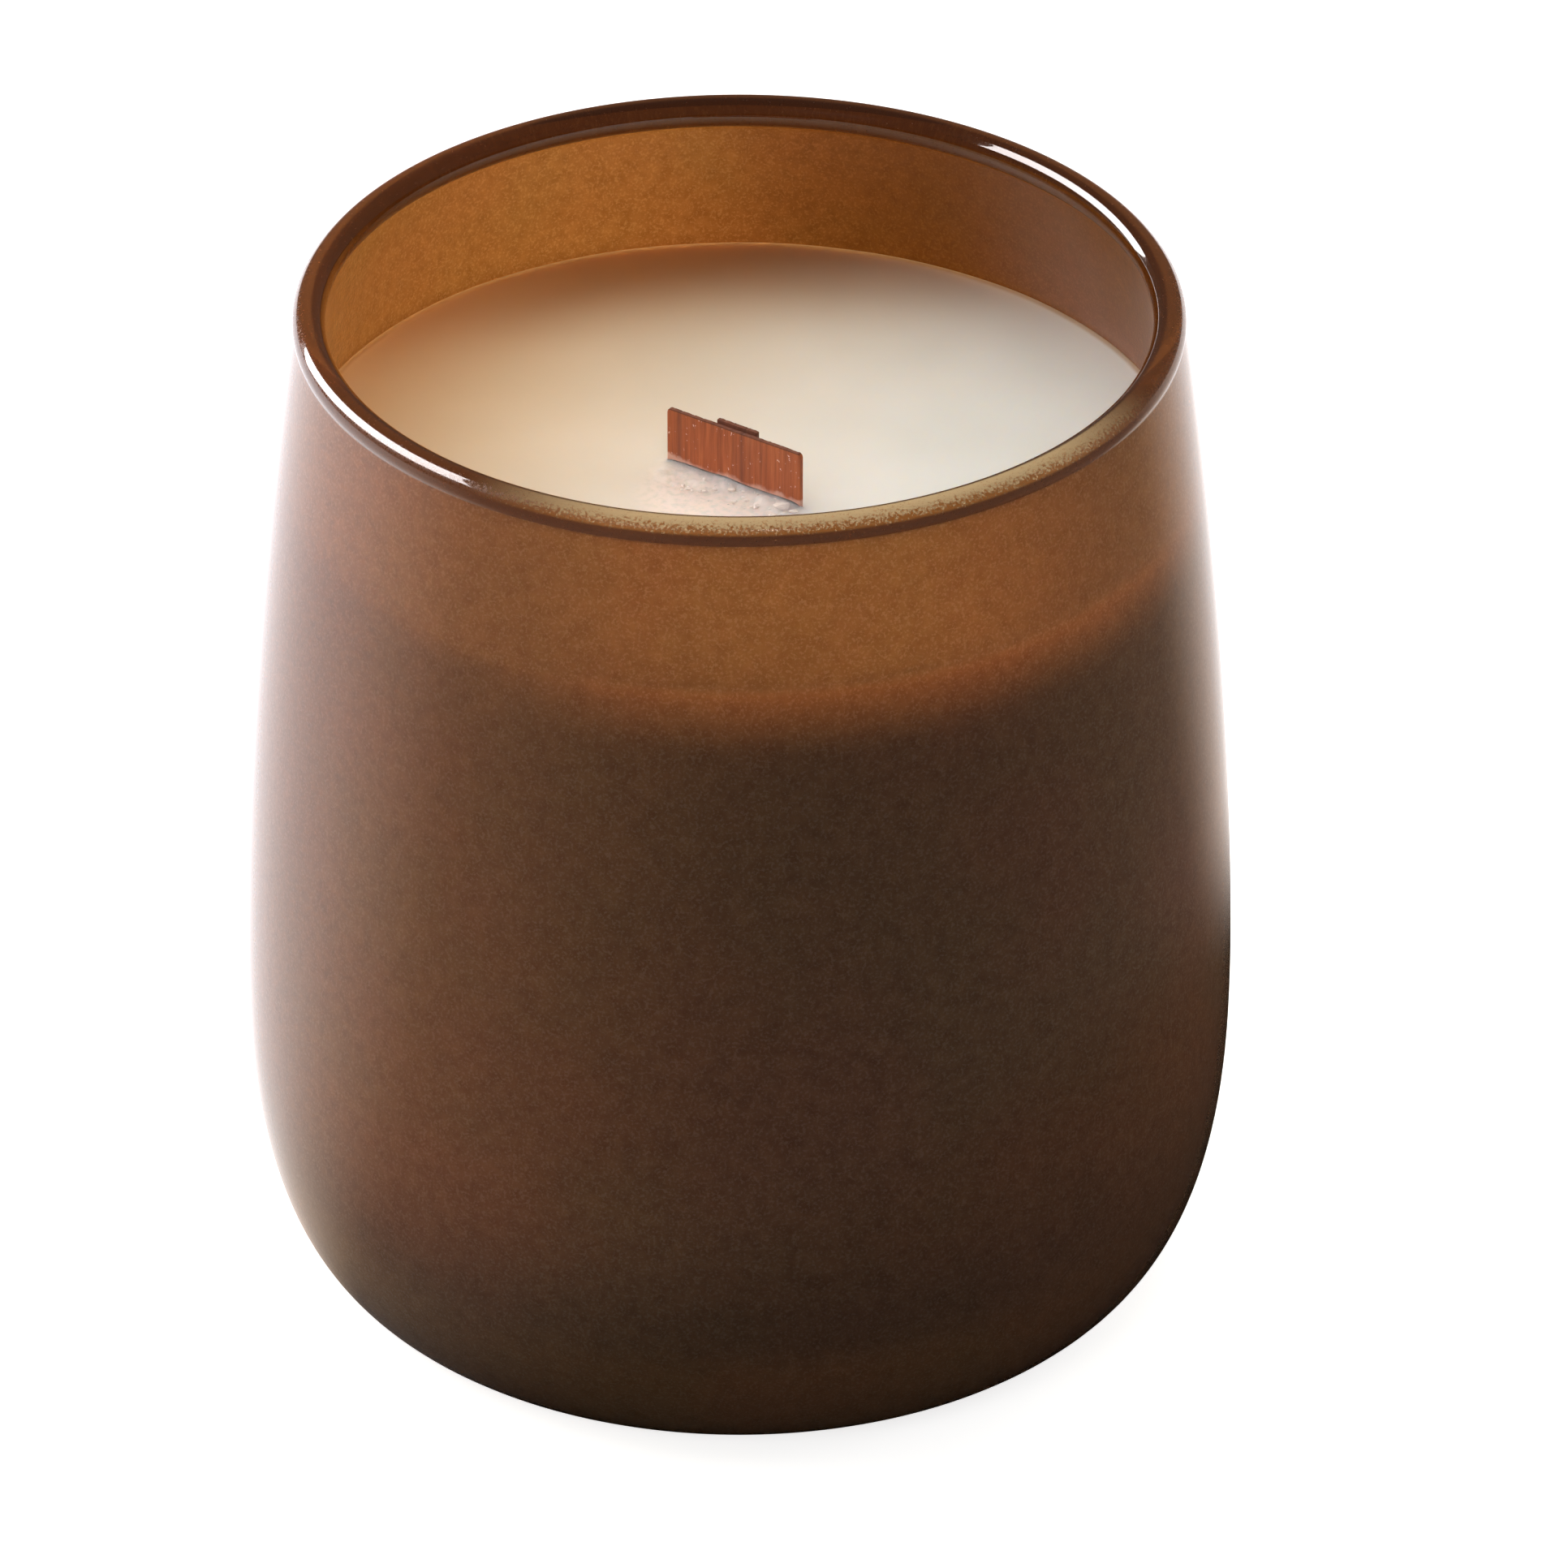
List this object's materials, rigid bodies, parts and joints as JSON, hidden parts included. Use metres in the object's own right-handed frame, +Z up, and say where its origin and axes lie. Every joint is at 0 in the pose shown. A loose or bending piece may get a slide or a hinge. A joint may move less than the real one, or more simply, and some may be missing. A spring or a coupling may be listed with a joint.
{
  "type": "poured jar candle",
  "caption": "Barrel-shaped smoked-amber glass jar with a rolled rim, filled with cream wax around a flat wooden wick held by a steel clip.",
  "frame": {"origin": "centre of the foot, on the surface that the jar stands on", "axes": "+Z up along the jar's axis; -Y towards the side the picture shows most of; +X to that view's right"},
  "size_m": [0.092, 0.092, 0.0986],
  "materials": {
    "amber_glass": "glossy, translucent brown with a fine metallic speckle",
    "cream_wax": "smooth satin wax, slightly translucent",
    "wick_wood": "unfinished cherry veneer, grain upright",
    "clip_steel": "thin stamped sheet, satin",
    "sticker_foam": "matte closed-cell foam, sticky on both faces"
  },
  "bodies": {
    "root": {"glass_jar": "amber_glass", "wax_fill": "cream_wax", "wick_blade": "wick_wood", "wick_booster": "wick_wood", "wick_clip": "clip_steel", "wick_sticker": "sticker_foam"}
  },
  "joints": []
}
